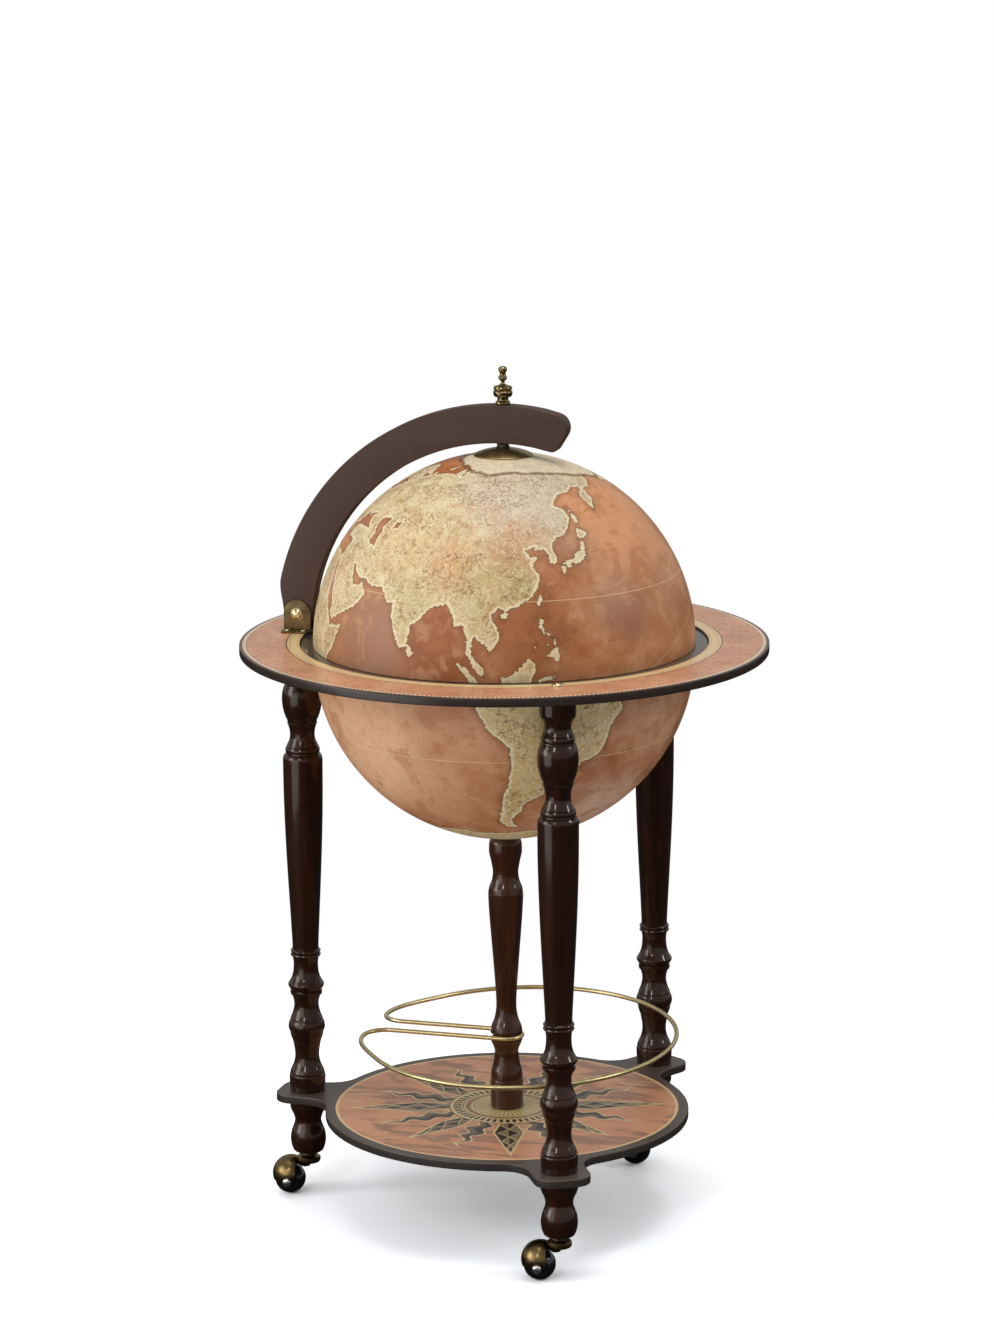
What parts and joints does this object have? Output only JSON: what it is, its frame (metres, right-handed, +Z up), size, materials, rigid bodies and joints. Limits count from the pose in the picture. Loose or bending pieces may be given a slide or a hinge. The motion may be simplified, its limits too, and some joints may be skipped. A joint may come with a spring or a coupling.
{
  "type": "globe drinks bar",
  "caption": "Floor-standing globe drinks bar: a spinning, hinged upper half over a rack bowl, a round ring table, turned legs, a low bottle shelf with a bent rail, and casters.",
  "frame": {"origin": "on the floor under the centre of the globe", "axes": "+Z up; the arm lies in the XZ plane with its hinge on the -X side; the wheels trail towards -X"},
  "size_m": [0.554, 0.554, 0.9159],
  "materials": {
    "mahogany_lacquer": "dark red-brown lacquered hardwood, semi-gloss",
    "brown_board": "dark brown painted board, matt",
    "ring_board": "board with an aged map-style print under satin lacquer and a dark edge",
    "shelf_board": "dark board with an aged compass-rose print under satin lacquer",
    "dark_seat": "dark moulding, matt",
    "tray_moulding": "dark brown moulding, satin",
    "plain_wood": "plain stained wood, satin",
    "globe_paper": "moulded shell covered with an aged map-style print, satin lacquer",
    "antique_brass": "dark antique brass, satin",
    "polished_brass": "polished brass",
    "satin_brass": "satin brass-plated rod",
    "steel": "plain steel",
    "chrome": "bright chrome",
    "black_wheel": "gloss black moulded wheel"
  },
  "bodies": {
    "stand": {"horizon_ring": "ring_board", "rim_seat": "dark_seat", "lower_hemisphere": "globe_paper", "tray_rim": "tray_moulding", "glass_rack": "plain_wood", "bottle_floor": "plain_wood", "left_leg": "mahogany_lacquer", "front_leg": "mahogany_lacquer", "rear_leg": "mahogany_lacquer", "left_foot": "mahogany_lacquer", "front_foot": "mahogany_lacquer", "rear_foot": "mahogany_lacquer", "centre_column": "mahogany_lacquer", "bottle_shelf": "shelf_board", "bottle_rail": "satin_brass", "hinge_bracket": "antique_brass", "hinge_pin": "polished_brass", "hinge_nut": "polished_brass", "bracket_screw_1": "polished_brass", "bracket_screw_2": "polished_brass", "bracket_screw_3": "polished_brass", "bracket_screw_4": "polished_brass", "left_leg_bolt": "polished_brass", "front_leg_bolt": "polished_brass", "rear_leg_bolt": "polished_brass", "left_leg_stud": "steel", "front_leg_stud": "steel", "rear_leg_stud": "steel", "column_screw": "steel", "bowl_screw": "steel", "left_caster_socket": "steel", "front_caster_socket": "steel", "rear_caster_socket": "steel"},
    "lid_arm": {"meridian_arm": "brown_board", "finial": "polished_brass", "pivot_rod": "steel", "pivot_spacer": "dark_seat", "pivot_nut": "steel"},
    "lid_globe": {"upper_hemisphere": "globe_paper", "pole_cap": "antique_brass", "pole_hub": "plain_wood"},
    "left_swivel": {"left_caster_stem": "steel", "left_caster_hood": "antique_brass", "left_caster_axle": "chrome"},
    "left_wheel": {"left_caster_wheel": "black_wheel"},
    "front_swivel": {"front_caster_stem": "steel", "front_caster_hood": "antique_brass", "front_caster_axle": "chrome"},
    "front_wheel": {"front_caster_wheel": "black_wheel"},
    "rear_swivel": {"rear_caster_stem": "steel", "rear_caster_hood": "antique_brass", "rear_caster_axle": "chrome"},
    "rear_wheel": {"rear_caster_wheel": "black_wheel"}
  },
  "joints": [
    {"name": "arm_tilt", "type": "hinge", "parent": "stand", "child": "lid_arm", "pos_m": [-0.2245, 0, 0.6448], "axis": [0, -1, 0], "range_deg": [0, 80]},
    {"name": "globe_spin", "type": "hinge", "parent": "lid_arm", "child": "lid_globe", "pos_m": [0, 0, 0.6249], "axis": [0, 0, 1], "continuous": true},
    {"name": "left_swivel_turn", "type": "hinge", "parent": "stand", "child": "left_swivel", "pos_m": [-0.2245, 0, 0], "axis": [0, 0, 1], "continuous": true},
    {"name": "left_wheel_roll", "type": "hinge", "parent": "left_swivel", "child": "left_wheel", "pos_m": [-0.24495, -0.00251, 0.0167], "axis": [0.1219, -0.9925, 0], "continuous": true},
    {"name": "front_swivel_turn", "type": "hinge", "parent": "stand", "child": "front_swivel", "pos_m": [0.11225, -0.19442, 0], "axis": [0, 0, 1], "continuous": true},
    {"name": "front_wheel_roll", "type": "hinge", "parent": "front_swivel", "child": "front_wheel", "pos_m": [0.0918, -0.19693, 0.0167], "axis": [0.1219, -0.9925, 0], "continuous": true},
    {"name": "rear_swivel_turn", "type": "hinge", "parent": "stand", "child": "rear_swivel", "pos_m": [0.11225, 0.19442, 0], "axis": [0, 0, 1], "continuous": true},
    {"name": "rear_wheel_roll", "type": "hinge", "parent": "rear_swivel", "child": "rear_wheel", "pos_m": [0.0918, 0.19191, 0.0167], "axis": [0.1219, -0.9925, 0], "continuous": true}
  ]
}
